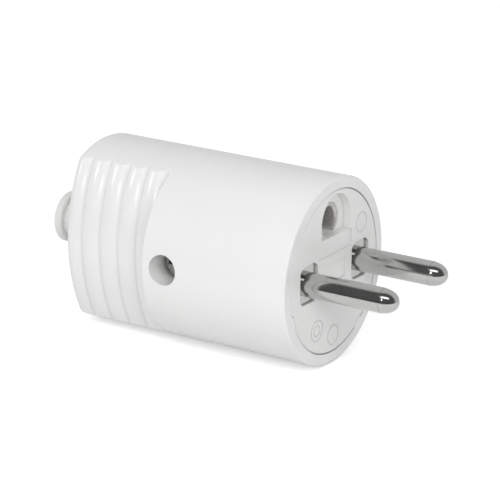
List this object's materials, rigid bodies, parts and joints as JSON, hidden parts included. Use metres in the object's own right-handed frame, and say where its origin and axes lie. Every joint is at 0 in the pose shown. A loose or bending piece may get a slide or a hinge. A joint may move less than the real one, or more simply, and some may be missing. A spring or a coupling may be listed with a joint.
{
  "type": "grounded plug",
  "caption": "Straight rewirable mains plug with solid round pins, an earth socket in its face, a round cover with scooped ribbed grips, a side screw and a soft cable bush.",
  "frame": {"origin": "centre of the face that meets the wall outlet, midway between the pins", "axes": "+X along the pins towards their tips, +Z towards the earth socket, +Y towards the line pin"},
  "size_m": [0.081, 0.0368, 0.0368],
  "materials": {
    "white_shell": "moulded, glossy",
    "white_insert": "moulded, satin",
    "soft_white": "soft, moulded",
    "nickel": "nickel plated, bright",
    "nickel_screw": "nickel plated",
    "zinc_steel": "zinc plated",
    "spring_steel": "blued"
  },
  "bodies": {
    "root": {"cover": "white_shell", "contact_carrier": "white_insert", "pin_retainer": "white_insert", "cord_clamp": "zinc_steel", "cable_bush": "soft_white", "line_pin": "nickel", "neutral_pin": "nickel", "earth_contact": "nickel", "earth_spring_ring": "spring_steel", "line_terminal_screw": "zinc_steel", "neutral_terminal_screw": "zinc_steel", "upper_retainer_screw": "zinc_steel", "lower_retainer_screw": "zinc_steel", "earth_terminal_screw": "zinc_steel", "earth_clamp_washer": "zinc_steel", "earth_nut": "zinc_steel", "left_clamp_screw": "zinc_steel", "right_clamp_screw": "zinc_steel", "left_clamp_nut": "zinc_steel", "right_clamp_nut": "zinc_steel", "cover_screw": "nickel_screw", "cover_nut": "zinc_steel"}
  },
  "joints": []
}
